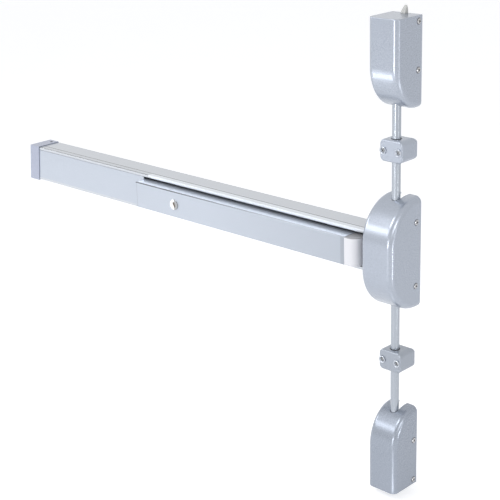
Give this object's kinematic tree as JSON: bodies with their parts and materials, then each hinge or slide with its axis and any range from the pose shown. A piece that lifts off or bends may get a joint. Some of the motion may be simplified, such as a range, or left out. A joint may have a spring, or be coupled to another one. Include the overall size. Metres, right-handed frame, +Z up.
{
  "type": "vertical rod exit device",
  "caption": "Surface-mounted exit device with a touch bar that retracts top and bottom latch bolts through vertical rods.",
  "frame": {"origin": "middle of the centre base plate's back face, on the door's face", "axes": "+Z up along the rods, +Y into the door, +X along the touch bar from its end cap to the centre case"},
  "size_m": [1.0728, 0.086, 0.918],
  "materials": {
    "case_paint": "smooth aluminium-coloured paint",
    "end_cap_paint": "smooth aluminium-coloured paint",
    "rail_aluminium": "satin anodised, fine lengthwise grain",
    "bar_aluminium": "satin anodised, fine lengthwise grain",
    "bar_ends": "smooth satin",
    "rod_finish": "satin",
    "screw_chrome": "bright",
    "dark_screws": "dark oxide",
    "lock_chrome": "bright",
    "lock_nickel": "satin nickel",
    "bolt_steel": "satin stainless",
    "black_nylon": "matte",
    "spring_steel": "drawn wire",
    "zinc_plate": "bright zinc plating",
    "machined_steel": "machined"
  },
  "bodies": {
    "frame": {"bottom_bolt_guide": "zinc_plate", "bottom_latch_base": "zinc_plate", "bottom_latch_cover": "case_paint", "bottom_latch_spring": "spring_steel", "bottom_spring_seat": "zinc_plate", "center_base_plate": "zinc_plate", "center_cover": "case_paint", "cover_screws": "screw_chrome", "crank_pivots": "machined_steel", "end_bracket": "zinc_plate", "end_cap": "end_cap_paint", "end_cap_screws": "dark_screws", "filler_plate": "bar_aluminium", "guide_bushes": "black_nylon", "guide_screws": "screw_chrome", "left_crank_bracket": "zinc_plate", "lever_clips": "machined_steel", "lever_pivots": "machined_steel", "lock_catch": "zinc_plate", "lower_case_guide": "zinc_plate", "lower_guide": "case_paint", "rail": "rail_aluminium", "rail_joiner": "zinc_plate", "rail_screws": "machined_steel", "return_spring": "spring_steel", "right_crank_bracket": "zinc_plate", "spring_anchor": "zinc_plate", "top_bolt_guide": "zinc_plate", "top_latch_base": "zinc_plate", "top_latch_cover": "case_paint", "top_latch_spring": "spring_steel", "top_spring_seat": "zinc_plate", "upper_case_guide": "zinc_plate", "upper_guide": "case_paint"},
    "push_bar": {"push_bar": "bar_aluminium", "push_bar_left_plug": "bar_aluminium", "push_bar_nose": "bar_ends", "lock_bushing": "lock_chrome", "lock_nut": "machined_steel", "left_drive_bracket": "zinc_plate", "right_drive_bracket": "zinc_plate"},
    "lock_plug": {"lock_plug": "lock_nickel"},
    "left_crank": {"left_crank": "machined_steel"},
    "right_crank": {"right_crank": "machined_steel"},
    "connecting_bar": {"connecting_bar": "machined_steel", "spring_collar": "machined_steel"},
    "upper_lever": {"upper_lever": "machined_steel"},
    "lower_lever": {"lower_lever": "machined_steel"},
    "top_rod": {"top_rod": "rod_finish", "top_rod_connector": "machined_steel", "top_rod_lock_nut": "machined_steel", "top_bolt_carrier": "machined_steel", "top_latch_bolt": "bolt_steel", "top_cross_pin": "machined_steel"},
    "bottom_rod": {"bottom_rod": "rod_finish", "bottom_rod_connector": "machined_steel", "bottom_rod_lock_nut": "machined_steel", "bottom_bolt_carrier": "machined_steel", "bottom_latch_bolt": "bolt_steel", "bottom_cross_pin": "machined_steel"}
  },
  "joints": [
    {"name": "push_bar_travel", "type": "slide", "parent": "frame", "child": "push_bar", "axis": [0, 1, 0], "range_m": [0, 0.016], "stiffness_N_per_m": 2000, "springref_m": -0.012},
    {"name": "lock_turn", "type": "hinge", "parent": "push_bar", "child": "lock_plug", "pos_m": [-0.5235, -0.0795, 0], "axis": [0, 1, 0], "range_deg": [0, 90]},
    {"name": "left_crank_swing", "type": "hinge", "parent": "frame", "child": "left_crank", "pos_m": [-0.43, -0.017, 0], "axis": [0, 0, 1], "range_deg": [0, 35.84]},
    {"name": "right_crank_swing", "type": "hinge", "parent": "frame", "child": "right_crank", "pos_m": [-0.19, -0.017, 0], "axis": [0, 0, 1], "range_deg": [0, 35.84]},
    {"name": "connecting_bar_travel", "type": "slide", "parent": "frame", "child": "connecting_bar", "axis": [1, 0, 0], "range_m": [0, 0.01169], "deforming": ["return_spring"]},
    {"name": "upper_lever_swing", "type": "hinge", "parent": "frame", "child": "upper_lever", "pos_m": [0.019, -0.0235, 0.025], "axis": [0, -1, 0], "range_deg": [0, 35.84]},
    {"name": "lower_lever_swing", "type": "hinge", "parent": "frame", "child": "lower_lever", "pos_m": [0.019, -0.0235, -0.025], "axis": [0, 1, 0], "range_deg": [0, 35.84]},
    {"name": "top_rod_travel", "type": "slide", "parent": "frame", "child": "top_rod", "axis": [0, 0, -1], "range_m": [0, 0.01169], "deforming": ["top_latch_spring"]},
    {"name": "bottom_rod_travel", "type": "slide", "parent": "frame", "child": "bottom_rod", "axis": [0, 0, 1], "range_m": [0, 0.01169], "deforming": ["bottom_latch_spring"]}
  ],
  "couplings": [
    {"joint": "left_crank_swing", "follows": "push_bar_travel", "rad_per_m": 39.096},
    {"joint": "right_crank_swing", "follows": "push_bar_travel", "rad_per_m": 39.096},
    {"joint": "connecting_bar_travel", "follows": "push_bar_travel", "ratio": 0.73077},
    {"joint": "upper_lever_swing", "follows": "push_bar_travel", "rad_per_m": 39.096},
    {"joint": "lower_lever_swing", "follows": "push_bar_travel", "rad_per_m": 39.096},
    {"joint": "top_rod_travel", "follows": "push_bar_travel", "ratio": 0.73077},
    {"joint": "bottom_rod_travel", "follows": "push_bar_travel", "ratio": 0.73077}
  ]
}
